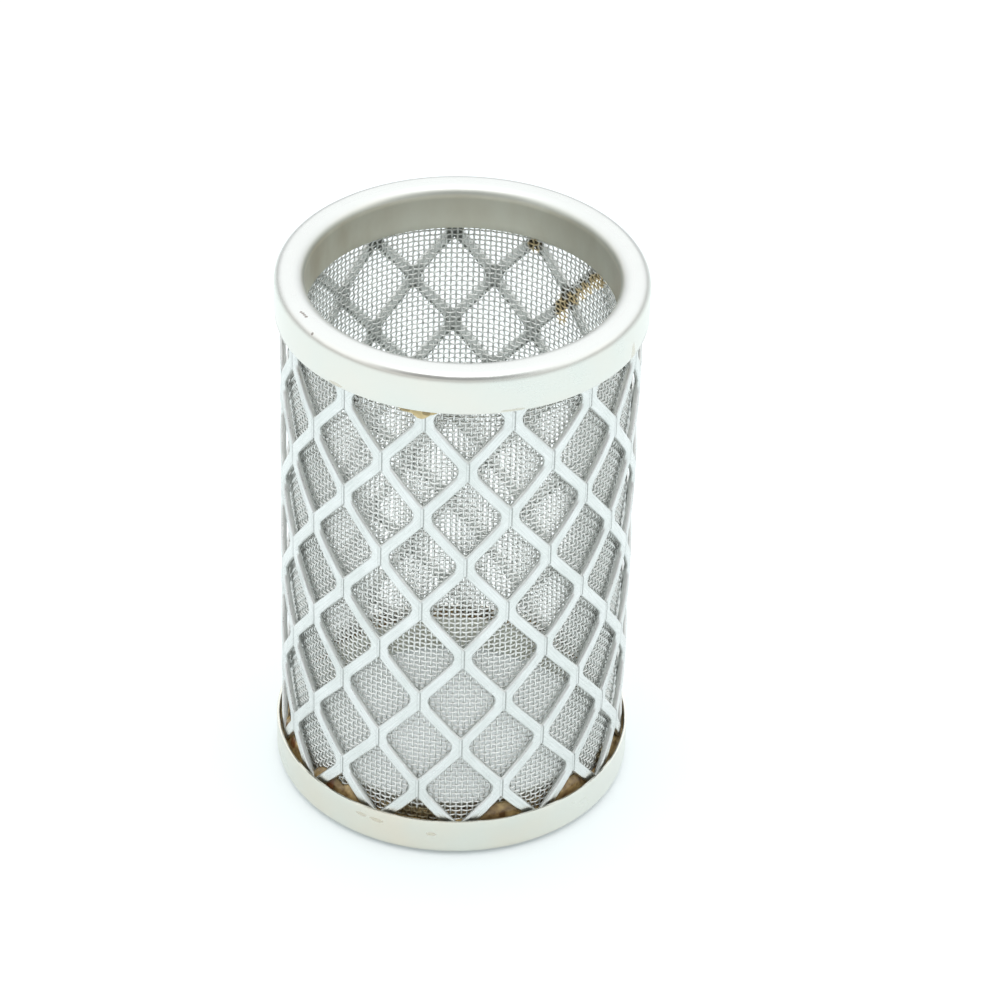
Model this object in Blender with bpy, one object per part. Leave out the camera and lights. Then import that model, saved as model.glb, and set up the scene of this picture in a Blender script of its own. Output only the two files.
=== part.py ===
"""Cylindrical hydraulic filter element.

A sleeve of woven wire cloth stands inside a stiff sleeve of expanded metal. Both are potted at
each end in a bed of adhesive, inside a pressed ring of U-shaped section. The middle is open from
end to end. Metres, +Z up, with the origin at the centre of the bottom face.
"""
import math

import bmesh
import bpy

# Overall size
outer_radius = 0.0280
overall_height = 0.0900

# End rings, pressed from sheet
ring_sheet = 0.0004
outer_skirt_height = 0.0067
inner_skirt_height = 0.0072
rim_bend_radius = 0.0016
bore_bend_radius = 0.0019

# Expanded metal sleeve
expanded_sheet = 0.0009
diamonds_round = 13
diamond_height = 0.0172
bond_width = 0.0029
bond_length = 0.0037
diamond_corner_radius = 0.0018
crease_length = 0.0024
crease_depth = 0.00018
pattern_turn = math.radians(-10.0)
pattern_lift = 0.0016

# Wire cloth sleeve, its fine weave drawn as a coarse one with a gap behind each diamond
cloth_thickness = 0.0006
cloth_crimp = 0.0002
crossings_per_diamond = 4
cloth_gap_width = 0.0050
cloth_gap_height = 0.0064

# Adhesive beds
bed_depth = 0.0015
adhesive_lip = 0.0010
adhesive_below_skirt = 0.0012

# Clearances between pieces
fit_gap = 0.0003
skirt_gap = 0.0004

# Smoothness of the round pieces
ring_segments = 40
adhesive_segments = 32
bend_steps = 3
inner_bend_steps = 2
corner_steps = 3
smooth_angle = math.radians(40)
weave_smooth_angle = math.radians(5)

# Radii, worked out from the outside inwards
channel_outer_radius = outer_radius - ring_sheet
expanded_outer_radius = channel_outer_radius - skirt_gap
expanded_inner_radius = expanded_outer_radius - expanded_sheet
cloth_outer_radius = expanded_inner_radius - fit_gap
cloth_inner_radius = cloth_outer_radius - cloth_thickness
lip_outer_radius = cloth_inner_radius - fit_gap
lip_inner_radius = lip_outer_radius - adhesive_lip
channel_inner_radius = lip_inner_radius - fit_gap
bore_radius = channel_inner_radius - ring_sheet

# Heights at the bottom end, which the top end mirrors
bed_bottom = ring_sheet + fit_gap
bed_top = bed_bottom + bed_depth
sleeve_bottom = bed_top + fit_gap
sleeve_top = overall_height - sleeve_bottom
pattern_height = overall_height / 2 + pattern_lift

# Order of the points round a bond: upper tip, right-hand arc, lower tip, left-hand arc
upper_tip = 0
lower_tip = corner_steps + 2


def clear_scene():
    for item in list(bpy.data.objects):
        bpy.data.objects.remove(item, do_unlink=True)


def make_material(name, colour, roughness, metallic):
    material = bpy.data.materials.new(name)
    material.use_nodes = True
    shader = material.node_tree.nodes["Principled BSDF"]
    shader.inputs["Base Color"].default_value = (*colour, 1.0)
    shader.inputs["Roughness"].default_value = roughness
    shader.inputs["Metallic"].default_value = metallic
    return material


def finish_mesh(name, bm, material, sharp_above=smooth_angle):
    """Turn a closed bmesh into a smooth-shaded mesh with its faces pointing out."""
    bmesh.ops.recalc_face_normals(bm, faces=bm.faces)
    mesh = bpy.data.meshes.new(name)
    bm.to_mesh(mesh)
    bm.free()
    mesh.materials.append(material)
    mesh.shade_smooth()
    mesh.set_sharp_from_angle(angle=sharp_above)
    return mesh


def add_object(name, mesh, upside_down=False):
    """Place a mesh as a named object, standing at the bottom or hung from the top."""
    item = bpy.data.objects.new(name, mesh)
    if upside_down:
        item.rotation_euler = (math.pi, 0, 0)
        item.location = (0, 0, overall_height)
    bpy.context.collection.objects.link(item)
    return item


def revolve(outline, segments):
    """Turn a closed outline of (radius, height) points about the Z axis."""
    bm = bmesh.new()
    points = [bm.verts.new((radius, 0, height)) for radius, height in outline]
    edges = [bm.edges.new((a, b)) for a, b in zip(points, points[1:] + points[:1])]
    bmesh.ops.spin(
        bm,
        geom=points + edges,
        cent=(0, 0, 0),
        axis=(0, 0, 1),
        angle=math.tau,
        steps=segments,
        use_merge=True,
    )
    return bm


def bend(centre_radius, centre_height, radius, start, end, steps):
    """Points of an arc in the ring's section, between two angles in degrees."""
    points = []
    for step in range(steps + 1):
        angle = math.radians(start + (end - start) * step / steps)
        points.append((centre_radius + radius * math.cos(angle), centre_height + radius * math.sin(angle)))
    return points


def ring_outline():
    """U-section of an end ring: long skirt round the bore, shorter skirt outside, closed below."""
    rim_centre = outer_radius - rim_bend_radius
    bore_centre = bore_radius + bore_bend_radius
    rim_inside = rim_bend_radius - ring_sheet
    bore_inside = bore_bend_radius - ring_sheet
    outline = [(outer_radius, outer_skirt_height)]
    outline += bend(rim_centre, rim_bend_radius, rim_bend_radius, 0, -90, bend_steps)
    outline += bend(bore_centre, bore_bend_radius, bore_bend_radius, 270, 180, bend_steps)
    outline += [(bore_radius, inner_skirt_height), (channel_inner_radius, inner_skirt_height)]
    outline += bend(bore_centre, bore_bend_radius, bore_inside, 180, 270, inner_bend_steps)
    outline += bend(rim_centre, rim_bend_radius, rim_inside, -90, 0, inner_bend_steps)
    outline += [(channel_outer_radius, outer_skirt_height)]
    return outline


def adhesive_outline():
    """L-section: a bed under both sleeves and a lip between the cloth and the inner skirt."""
    lip_top = inner_skirt_height - adhesive_below_skirt
    rim_clear = rim_bend_radius - ring_sheet - fit_gap
    bore_clear = bore_bend_radius - ring_sheet - fit_gap
    outline = [(channel_outer_radius - fit_gap, bed_top)]
    outline += bend(outer_radius - rim_bend_radius, rim_bend_radius, rim_clear, 0, -90, 1)
    outline += bend(bore_radius + bore_bend_radius, bore_bend_radius, bore_clear, 270, 180, 1)
    outline += [(lip_inner_radius, lip_top), (lip_outer_radius, lip_top), (lip_outer_radius, bed_top)]
    return outline


def diamond_corner(half_pitch):
    """Centre distance and half turn of the rounded side corner of a diamond hole.

    The straight edges run from the hole's sharp upper and lower tips and meet the arc at a
    tangent, and the arc's outermost point leaves half a bond's width.
    """
    half_height = (diamond_height - bond_length) / 2
    reach = half_pitch - bond_width / 2 - diamond_corner_radius
    distance = math.hypot(reach, half_height)
    turn = math.pi - math.atan2(half_height, reach) - math.acos(diamond_corner_radius / distance)
    return reach, turn


def bond_points(half_pitch):
    """Outline of one bond about its own centre, clockwise from its upper tip.

    A bond joins two strands. A diamond hole lies above it, below it and at either side.
    """
    reach, turn = diamond_corner(half_pitch)
    right_arc = []
    for step in range(corner_steps + 1):
        angle = turn - 2 * turn * step / corner_steps
        across = half_pitch - reach - diamond_corner_radius * math.cos(angle)
        right_arc.append((across, diamond_corner_radius * math.sin(angle)))
    left_arc = [(-across, along) for across, along in reversed(right_arc)]
    return [(0, bond_length / 2)] + right_arc + [(0, -bond_length / 2)] + left_arc


def rolled(across, along, radius):
    """Roll a point of the flat sheet round the Z axis. The sheet is laid out at its outer face."""
    angle = across / expanded_outer_radius
    return radius * math.sin(angle), -radius * math.cos(angle), along


def cut_square(bm, height, direction):
    """Cut the sleeve off level and close the cut strands."""
    geometry = list(bm.verts) + list(bm.edges) + list(bm.faces)
    bmesh.ops.bisect_plane(
        bm,
        geom=geometry,
        dist=0.00001,
        plane_co=(0, 0, height),
        plane_no=(0, 0, direction),
        clear_outer=True,
    )
    open_edges = [edge for edge in bm.edges if edge.is_boundary]
    bmesh.ops.holes_fill(bm, edges=open_edges, sides=0)


def add_bond(bm, across, along, outline):
    """One bond: an outer face creased down the middle, an inner face and its share of hole sides."""
    crease_radius = expanded_outer_radius - crease_depth
    crease_top = bm.verts.new(rolled(across, along + crease_length / 2, crease_radius))
    crease_foot = bm.verts.new(rolled(across, along - crease_length / 2, crease_radius))
    front = [bm.verts.new(rolled(across + x, along + y, expanded_outer_radius)) for x, y in outline]
    back = [bm.verts.new(rolled(across + x, along + y, expanded_inner_radius)) for x, y in outline]
    bm.faces.new(front[:lower_tip + 1] + [crease_foot, crease_top])
    bm.faces.new(front[lower_tip:] + [front[upper_tip], crease_top, crease_foot])
    bm.faces.new(reversed(back))
    for first in (upper_tip + 1, lower_tip + 1):
        for i in range(first, first + corner_steps):
            bm.faces.new((front[i], back[i], back[i + 1], front[i + 1]))
    return front, back


def add_strand(bm, lower_bond, upper_bond, near_shoulder, far_shoulder):
    """Strand from the upper tip of one bond to the lower tip of the next, with both its sides."""
    faces = []
    for lower, upper in zip(lower_bond, upper_bond):
        corners = [lower[upper_tip], lower[near_shoulder], upper[lower_tip], upper[far_shoulder]]
        bm.faces.new(corners)
        faces.append(corners)
    front, back = faces
    for i, j in ((1, 2), (3, 0)):
        bm.faces.new((front[i], front[j], back[j], back[i]))


def expanded_sleeve():
    """Lattice of slit and stretched sheet, rolled into a tube and cut square at both ends."""
    bm = bmesh.new()
    pitch = math.tau * expanded_outer_radius / diamonds_round
    outline = bond_points(pitch / 2)
    reach = math.ceil(overall_height / diamond_height) + 1
    bonds = {}
    for row in range(-reach, reach + 1):
        for column in range(diamonds_round):
            across = pattern_turn * expanded_outer_radius + pitch * (column + (row % 2) / 2)
            along = pattern_height + row * diamond_height / 2
            bonds[column, row] = add_bond(bm, across, along, outline)
    for row in range(-reach, reach):
        for column in range(diamonds_round):
            right = (column + row % 2) % diamonds_round
            left = (right - 1) % diamonds_round
            add_strand(bm, bonds[column, row], bonds[right, row + 1], upper_tip + 1, lower_tip + 1)
            add_strand(bm, bonds[column, row], bonds[left, row + 1], -1, lower_tip - 1)
    bmesh.ops.triangulate(bm, faces=bm.faces)
    cut_square(bm, sleeve_bottom, -1)
    cut_square(bm, sleeve_top, 1)
    return bm


def cloth_levels():
    """Heights of the weft crossings, in pairs on each side of a gap, with the end ones cut level."""
    spacing = diamond_height / crossings_per_diamond
    widen = (cloth_gap_height - spacing) / 2
    lowest = round((sleeve_bottom - pattern_height) / spacing - 0.5)
    highest = round((sleeve_top - pattern_height) / spacing - 0.5)
    heights = {}
    for level in range(lowest, highest + 1):
        side = 1 if level % 2 == 0 else -1
        heights[level] = pattern_height + (level + 0.5) * spacing + side * widen
    heights[lowest] = sleeve_bottom
    heights[highest] = sleeve_top
    return heights


def cloth_layer(bm, middle_radius, heights, columns):
    """One face of the cloth: crossings that stand out and in by turns, as wires pass over and under."""
    points = {}
    widen = (cloth_gap_width / cloth_outer_radius - math.tau / columns) / 2
    for level, height in heights.items():
        for column in range(columns):
            side = 1 if column % 2 else -1
            radius = middle_radius + cloth_crimp * (1 if (level + column) % 2 else -1)
            angle = pattern_turn + math.tau * (column - 0.5) / columns + side * widen
            place = (radius * math.sin(angle), -radius * math.cos(angle), height)
            points[level, column] = bm.verts.new(place)
    return points


def is_gap(row, column, lower, upper):
    """A gap lies behind each diamond hole, wherever the cloth goes on below and above it."""
    half_step = crossings_per_diamond // 2
    if lower <= sleeve_bottom or upper >= sleeve_top:
        return False
    return row % half_step == 0 and (column - row - half_step) % crossings_per_diamond == 0


def cloth_sleeve():
    """Thin wall that rises and falls as a plain weave does, with gaps right through it."""
    bm = bmesh.new()
    columns = diamonds_round * crossings_per_diamond
    heights = cloth_levels()
    outer = cloth_layer(bm, cloth_outer_radius - cloth_crimp, heights, columns)
    inner = cloth_layer(bm, cloth_inner_radius + cloth_crimp, heights, columns)
    levels = sorted(heights)
    for level in levels[:-1]:
        for column in range(columns):
            beside = (column + 1) % columns
            corners = [(level, column), (level, beside), (level + 1, beside), (level + 1, column)]
            if (level + column) % 2 == 0:
                corners = corners[1:] + corners[:1]
            front = [outer[corner] for corner in corners]
            back = [inner[corner] for corner in corners]
            if is_gap(level + 1, column, heights[level], heights[level + 1]):
                for i in range(4):
                    bm.faces.new((front[i], front[i - 1], back[i - 1], back[i]))
            else:
                for side in (front, back):
                    bm.faces.new((side[0], side[1], side[2]))
                    bm.faces.new((side[0], side[2], side[3]))
    for level in (levels[0], levels[-1]):
        for column in range(columns):
            edge = ((level, column), (level, (column + 1) % columns))
            bm.faces.new([outer[corner] for corner in edge] + [inner[corner] for corner in edge[::-1]])
    return bm


def build():
    clear_scene()
    ring_steel = make_material("ring_steel", (0.80, 0.81, 0.77), 0.30, 1.0)
    lattice_steel = make_material("lattice_steel", (0.82, 0.84, 0.82), 0.34, 1.0)
    cloth_steel = make_material("cloth_steel", (0.60, 0.61, 0.57), 0.40, 1.0)
    adhesive = make_material("adhesive", (0.42, 0.25, 0.08), 0.35, 0.0)

    ring_mesh = finish_mesh("end_ring", revolve(ring_outline(), ring_segments), ring_steel)
    add_object("bottom_end_ring", ring_mesh)
    add_object("top_end_ring", ring_mesh, upside_down=True)

    bed_mesh = finish_mesh("adhesive_bed", revolve(adhesive_outline(), adhesive_segments), adhesive)
    add_object("bottom_adhesive_bed", bed_mesh)
    add_object("top_adhesive_bed", bed_mesh, upside_down=True)

    add_object("expanded_metal_sleeve", finish_mesh("expanded_metal", expanded_sleeve(), lattice_steel))
    cloth_mesh = finish_mesh("wire_cloth", cloth_sleeve(), cloth_steel, weave_smooth_angle)
    add_object("wire_cloth_sleeve", cloth_mesh)


build()
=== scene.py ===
import math

import bmesh
import bpy
from mathutils import Matrix, Vector


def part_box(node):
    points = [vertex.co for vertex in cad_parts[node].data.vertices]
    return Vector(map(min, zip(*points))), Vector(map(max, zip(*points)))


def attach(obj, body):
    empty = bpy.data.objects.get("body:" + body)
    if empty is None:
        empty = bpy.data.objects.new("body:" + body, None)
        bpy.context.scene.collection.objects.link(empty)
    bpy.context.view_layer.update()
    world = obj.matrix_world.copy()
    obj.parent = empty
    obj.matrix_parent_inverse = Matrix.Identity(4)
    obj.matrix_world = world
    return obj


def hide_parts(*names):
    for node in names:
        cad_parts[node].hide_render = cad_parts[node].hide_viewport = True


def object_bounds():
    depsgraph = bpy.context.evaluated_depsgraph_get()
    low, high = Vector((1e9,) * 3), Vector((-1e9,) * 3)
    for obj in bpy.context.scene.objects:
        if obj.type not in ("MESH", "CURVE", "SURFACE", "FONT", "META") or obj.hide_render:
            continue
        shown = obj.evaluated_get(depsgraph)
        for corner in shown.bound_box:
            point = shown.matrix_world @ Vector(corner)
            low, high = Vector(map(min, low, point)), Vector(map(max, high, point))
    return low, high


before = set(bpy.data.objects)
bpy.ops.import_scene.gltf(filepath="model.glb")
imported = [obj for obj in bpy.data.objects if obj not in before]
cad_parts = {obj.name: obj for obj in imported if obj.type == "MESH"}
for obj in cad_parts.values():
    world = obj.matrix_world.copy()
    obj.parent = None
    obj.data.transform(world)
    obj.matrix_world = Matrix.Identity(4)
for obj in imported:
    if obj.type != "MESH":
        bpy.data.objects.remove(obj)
cad_low, cad_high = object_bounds()


# Wire cloth sleeve
# Plain woven stainless cloth of about 30 wires to the inch, rolled into a tube. Upright warp wires
# and level weft rings pass over and under each other, and both ends stand in the adhesive.
wire_diameter = 0.00033
warp_count = 186
weft_count = 100
warp_pairs_right = 47
cloth_low, cloth_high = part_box("wire_cloth_sleeve")
weft_crimp = wire_diameter * 0.4
warp_crimp = wire_diameter * 0.6
cloth_radius = cloth_high.x - warp_crimp - wire_diameter / 2
weft_pitch = (cloth_high.z - cloth_low.z) / weft_count
first_weft = cloth_low.z + weft_pitch / 2
warp_step = math.tau / warp_count
cloth_colour = (0.86, 0.88, 0.86, 1.0)
dull_wire = (0.85, 0.87, 0.85, 1.0)
bright_wire = (0.92, 0.94, 0.92, 1.0)
side_wire_painted_shade = (0.74, 0.76, 0.74, 1.0)
soak_colour = (0.74, 0.63, 0.40, 1.0)
foot_soak_colour = (0.36, 0.31, 0.19, 1.0)


def add_node(tree, kind, inputs=(), **settings):
    """Adds a node, sets its options, and links or fills its inputs by name or number."""
    node = tree.nodes.new(kind)
    for setting, value in settings.items():
        setattr(node, setting, value)
    for socket, value in dict(inputs).items():
        if isinstance(value, bpy.types.NodeSocket):
            tree.links.new(value, node.inputs[socket])
        else:
            node.inputs[socket].default_value = value
    return node


def calculate(tree, operation, *values):
    """One step of arithmetic on numbers and sockets."""
    return add_node(tree, "ShaderNodeMath", enumerate(values), operation=operation).outputs[0]


def calculate_vector(tree, operation, inputs):
    """One step of arithmetic on vectors, which gives a vector, or a number for a length or product."""
    node = add_node(tree, "ShaderNodeVectorMath", inputs, operation=operation)
    return node.outputs["Value" if operation in ("LENGTH", "DOT_PRODUCT") else "Vector"]


def combine(tree, x, y, z):
    return add_node(tree, "ShaderNodeCombineXYZ", enumerate((x, y, z))).outputs[0]


def split(tree, vector):
    return add_node(tree, "ShaderNodeSeparateXYZ", {0: vector}).outputs


def fade(tree, value, start, end, low=0.0, high=1.0, soft=False):
    """Goes from low to high while a value goes from start to end, and stays level beyond them."""
    ends = {"Value": value, "From Min": start, "From Max": end, "To Min": low, "To Max": high}
    easing = "SMOOTHSTEP" if soft else "LINEAR"
    return add_node(tree, "ShaderNodeMapRange", ends, interpolation_type=easing).outputs[0]


def noise(tree, point, scale, detail):
    inputs = {"Vector": point, "Scale": scale, "Detail": detail}
    return add_node(tree, "ShaderNodeTexNoise", inputs).outputs["Fac"]


def start_forming(name, sizes):
    """A geometry tree with a named input for each size, whole numbers for counts."""
    tree = bpy.data.node_groups.new(name, "GeometryNodeTree")
    tree.interface.new_socket("Geometry", in_out="INPUT", socket_type="NodeSocketGeometry")
    for label, size in sizes.items():
        kind = "NodeSocketInt" if isinstance(size, int) else "NodeSocketFloat"
        tree.interface.new_socket(label, in_out="INPUT", socket_type=kind)
    tree.interface.new_socket("Finish", in_out="INPUT", socket_type="NodeSocketMaterial")
    tree.interface.new_socket("Geometry", in_out="OUTPUT", socket_type="NodeSocketGeometry")
    return tree, add_node(tree, "NodeGroupInput").outputs


def end_forming(tree, geometry, finish):
    """Shades the geometry smooth, gives it its material and sends it out."""
    smooth = add_node(tree, "GeometryNodeSetShadeSmooth", {"Geometry": geometry}).outputs[0]
    finished = add_node(tree, "GeometryNodeSetMaterial", {"Geometry": smooth, "Material": finish})
    add_node(tree, "NodeGroupOutput", {0: finished.outputs[0]})


def form_piece(name, tree, sizes, material, blank=None):
    """Runs a tree on a blank with the given sizes and keeps the result as a plain mesh."""
    blank = blank or bpy.data.meshes.new(name + "_blank")
    piece = bpy.data.objects.new(name, blank)
    bpy.context.collection.objects.link(piece)
    modifier = piece.modifiers.new("Forming", "NODES")
    modifier.node_group = tree
    values = dict(sizes, Finish=material)
    for item in tree.interface.items_tree:
        if item.in_out == "INPUT" and item.name in values:
            modifier[item.identifier] = values[item.name]
    evaluated = piece.evaluated_get(bpy.context.evaluated_depsgraph_get())
    formed = bpy.data.meshes.new_from_object(evaluated)
    piece.modifiers.clear()
    piece.data = formed
    bpy.data.meshes.remove(blank)
    formed.name = name
    return piece


def wires_from_paths(tree, paths, wire_radius, caps):
    """Draws a wire of four sides, shaded round, along each path."""
    joined = add_node(tree, "GeometryNodeJoinGeometry")
    for path in paths:
        tree.links.new(path, joined.inputs[0])
    section = add_node(tree, "GeometryNodeCurvePrimitiveCircle", {"Resolution": 4, "Radius": wire_radius})
    inputs = {"Curve": joined.outputs[0], "Profile Curve": section.outputs[0], "Fill Caps": caps}
    return add_node(tree, "GeometryNodeCurveToMesh", inputs).outputs[0]


def crimp_wave(tree, crimp, start):
    """In and out once every two crossings, with two points to a crossing."""
    index = add_node(tree, "GeometryNodeInputIndex").outputs[0]
    quarter_turns = calculate(tree, "MULTIPLY", calculate(tree, "SUBTRACT", index, start), math.pi / 2)
    return calculate(tree, "MULTIPLY", calculate(tree, "COSINE", quarter_turns), crimp)


def weft_weaving(sizes):
    """Level rings in pairs, the second of each pair crimped the other way."""
    tree, size = start_forming("weft_weaving", sizes)
    points_round = calculate(tree, "MULTIPLY", size["Warp Wires"], 2)
    ring_inputs = {"Resolution": points_round, "Radius": size["Cloth Radius"]}
    ring = add_node(tree, "GeometryNodeCurvePrimitiveCircle", ring_inputs).outputs[0]
    wave = crimp_wave(tree, size["Crimp"], 0)
    place = add_node(tree, "GeometryNodeInputPosition").outputs[0]
    outwards = calculate_vector(tree, "NORMALIZE", {0: place})
    paths = []
    for direction, rise in ((1, 0.0), (-1, size["Pitch"])):
        shift = calculate(tree, "MULTIPLY", wave, direction)
        crimped = calculate_vector(tree, "SCALE", {0: outwards, "Scale": shift})
        offset = calculate_vector(tree, "ADD", {0: crimped, 1: combine(tree, 0, 0, rise)})
        path = add_node(tree, "GeometryNodeSetPosition", {"Geometry": ring, "Offset": offset})
        paths.append(path.outputs[0])
    wires = wires_from_paths(tree, paths, size["Wire Radius"], False)
    double_pitch = calculate(tree, "MULTIPLY", size["Pitch"], 2)
    line_inputs = {
        "Count": size["Pairs"],
        "Start Location": combine(tree, 0, 0, size["First Height"]),
        "Offset": combine(tree, 0, 0, double_pitch),
    }
    line = add_node(tree, "GeometryNodeMeshLine", line_inputs)
    rings = add_node(tree, "GeometryNodeInstanceOnPoints", {"Points": line.outputs[0], "Instance": wires})
    real = add_node(tree, "GeometryNodeRealizeInstances", {0: rings.outputs[0]})
    end_forming(tree, real.outputs[0], size["Finish"])
    return tree


def warp_weaving(sizes):
    """Upright wires in pairs, set out round the tube, crimped against the weft."""
    tree, size = start_forming("warp_weaving", sizes)
    half_pitch = calculate(tree, "MULTIPLY", size["Pitch"], 0.5)
    foot = calculate(tree, "SUBTRACT", size["First Height"], half_pitch)
    head = calculate(tree, "MULTIPLY_ADD", size["Pitch"], size["Crossings"], foot)
    ends = {"Start": combine(tree, 0, 0, foot), "End": combine(tree, 0, 0, head)}
    line = add_node(tree, "GeometryNodeCurvePrimitiveLine", ends)
    count = calculate(tree, "MULTIPLY_ADD", size["Crossings"], 2, 1)
    straight_inputs = {"Curve": line.outputs[0], "Count": count}
    straight = add_node(tree, "GeometryNodeResampleCurve", straight_inputs).outputs[0]
    wave = crimp_wave(tree, size["Crimp"], 1)
    paths = []
    for direction, turn in ((-1, 0.0), (1, size["Step"])):
        away = calculate(tree, "MULTIPLY_ADD", wave, direction, size["Cloth Radius"])
        offset = combine(tree, away, 0, 0)
        path = add_node(tree, "GeometryNodeSetPosition", {"Geometry": straight, "Offset": offset})
        inputs = {"Geometry": path.outputs[0], "Rotation": combine(tree, 0, 0, turn)}
        paths.append(add_node(tree, "GeometryNodeTransform", inputs).outputs[0])
    wires = wires_from_paths(tree, paths, size["Wire Radius"], True)
    middle = add_node(tree, "GeometryNodeMeshLine", {"Count": size["Pairs"], "Offset": (0, 0, 0)})
    index = add_node(tree, "GeometryNodeInputIndex").outputs[0]
    pair_step = calculate(tree, "MULTIPLY", size["Step"], 2)
    turn = calculate(tree, "MULTIPLY_ADD", index, pair_step, size["First Angle"])
    inputs = {"Points": middle.outputs[0], "Instance": wires, "Rotation": combine(tree, 0, 0, turn)}
    stakes = add_node(tree, "GeometryNodeInstanceOnPoints", inputs)
    real = add_node(tree, "GeometryNodeRealizeInstances", {0: stakes.outputs[0]})
    end_forming(tree, real.outputs[0], size["Finish"])
    return tree


def start_effect(name, inputs, outputs):
    """A shader node group with named inputs and outputs."""
    tree = bpy.data.node_groups.new(name, "ShaderNodeTree")
    for label, (kind, value) in inputs.items():
        socket = tree.interface.new_socket(label, in_out="INPUT", socket_type=kind)
        if value is not None:
            socket.default_value = value
    for label, kind in outputs.items():
        tree.interface.new_socket(label, in_out="OUTPUT", socket_type=kind)
    return tree, add_node(tree, "NodeGroupInput").outputs


def ragged_spot():
    """A patch with a ragged soft edge round a point, such as soaked-in adhesive or a scuff."""
    tree, given = start_effect(
        "ragged_spot",
        {
            "Point": ("NodeSocketVector", None),
            "Middle": ("NodeSocketVector", None),
            "Width": ("NodeSocketFloat", 0.002),
            "Height": ("NodeSocketFloat", 0.002),
            "Raggedness": ("NodeSocketFloat", 0.6),
        },
        {"Mask": "NodeSocketFloat"},
    )
    away = calculate_vector(tree, "SUBTRACT", {0: given["Point"], 1: given["Middle"]})
    size = combine(tree, given["Width"], given["Width"], given["Height"])
    distance = calculate_vector(tree, "LENGTH", {0: calculate_vector(tree, "DIVIDE", {0: away, 1: size})})
    wander = calculate(tree, "SUBTRACT", noise(tree, given["Point"], 900.0, 3.0), 0.5)
    reach = calculate(tree, "MULTIPLY_ADD", wander, given["Raggedness"], distance)
    add_node(tree, "NodeGroupOutput", {0: fade(tree, reach, 1.05, 0.75, soft=True)})
    return tree


def rolled_grain():
    """Cloudy sheen and fine scratches of rolled and drawn sheet, along whatever way it is stretched."""
    tree, given = start_effect(
        "rolled_grain",
        {
            "Point": ("NodeSocketVector", None),
            "Fineness": ("NodeSocketFloat", 2500.0),
            "Cloud Size": ("NodeSocketFloat", 90.0),
        },
        {"Clouds": "NodeSocketFloat", "Scratches": "NodeSocketFloat"},
    )
    clouds = fade(tree, noise(tree, given["Point"], given["Cloud Size"], 4.0), 0.32, 0.68)
    scratches = noise(tree, given["Point"], given["Fineness"], 2.0)
    add_node(tree, "NodeGroupOutput", {0: clouds, 1: scratches})
    return tree


spot_effect = ragged_spot()
grain_effect = rolled_grain()


def use_effect(tree, effect, inputs):
    return add_node(tree, "ShaderNodeGroup", inputs, node_tree=effect).outputs


def start_finish(name, colour, roughness, metallic):
    """A material with its Principled shader and the object's own coordinates."""
    material = bpy.data.materials.new(name)
    material.use_nodes = True
    tree = material.node_tree
    shader = tree.nodes["Principled BSDF"]
    shader.inputs["Base Color"].default_value = colour
    shader.inputs["Roughness"].default_value = roughness
    shader.inputs["Metallic"].default_value = metallic
    point = add_node(tree, "ShaderNodeTexCoord").outputs["Object"]
    return material, tree, shader, point


def on_tube(degrees, radius, height):
    """A point on a round of the element: 0 degrees faces the front, and they run to the right."""
    angle = math.radians(degrees)
    return (radius * math.sin(angle), -radius * math.cos(angle), height)


def spots(tree, point, radius, places, raggedness=0.6):
    """The largest of several ragged spots, each given as degrees, height, half width, half height."""
    mask = None
    for degrees, height, width, tall in places:
        inputs = {
            "Point": point,
            "Middle": on_tube(degrees, radius, height),
            "Width": width,
            "Height": tall,
            "Raggedness": raggedness,
        }
        one = use_effect(tree, spot_effect, inputs)["Mask"]
        mask = one if mask is None else calculate(tree, "MAXIMUM", mask, one)
    return mask


def blend_colours(tree, share, first, second):
    node = add_node(tree, "ShaderNodeMix", {0: share, 6: first, 7: second}, data_type="RGBA")
    return node.outputs[2]


# Adhesive soaked into the cloth, inside at the back right and along the front of the bottom ring
cloth_soaks = [
    (143.3, 0.0703, 0.0014, 0.0027),
    (138.7, 0.0733, 0.0015, 0.0011),
    (135.2, 0.0748, 0.0015, 0.0011),
    (131.9, 0.0766, 0.0015, 0.0012),
    (128.0, 0.0786, 0.0016, 0.0014),
    (125.4, 0.0794, 0.0013, 0.0013),
    (155.5, 0.0801, 0.0011, 0.0014),
]
foot_soaks = [
    (-11.0, 0.0064, 0.0050, 0.0012),
    (18.0, 0.0072, 0.0040, 0.0012),
    (68.0, 0.0066, 0.0030, 0.0014),
    (-66.0, 0.0070, 0.0034, 0.0014),
]

# Satin wires, a little cloudy, with painted shade where the tube turns to its sides
cloth_finish, tree, shader, point = start_finish("woven_stainless", cloth_colour, 0.30, 1.0)
grain = use_effect(tree, grain_effect, {"Point": point, "Fineness": 3000.0, "Cloud Size": 160.0})
wire_shade = blend_colours(tree, grain["Clouds"], dull_wire, bright_wire)
from_sides = calculate(tree, "ABSOLUTE", split(tree, point)[1])
painted_shade_at_sides = fade(tree, from_sides, 0.0238, 0.0160)
wire_shade = blend_colours(tree, painted_shade_at_sides, wire_shade, side_wire_painted_shade)

# Soaked wires are tan, and less like bare metal
soaked = spots(tree, point, cloth_radius, cloth_soaks, 0.9)
soaked_foot = spots(tree, point, cloth_radius, foot_soaks, 0.9)
soaked_shade = blend_colours(tree, soaked, wire_shade, soak_colour)
soaked_shade = blend_colours(tree, soaked_foot, soaked_shade, foot_soak_colour)
tree.links.new(soaked_shade, shader.inputs["Base Color"])
all_soaks = calculate(tree, "MAXIMUM", soaked, soaked_foot)
bare_metal = calculate(tree, "MULTIPLY_ADD", all_soaks, -0.3, 1.0)
tree.links.new(bare_metal, shader.inputs["Metallic"])
satin = calculate(tree, "MULTIPLY_ADD", grain["Scratches"], 0.25, 0.30)
tree.links.new(satin, shader.inputs["Roughness"])

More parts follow.
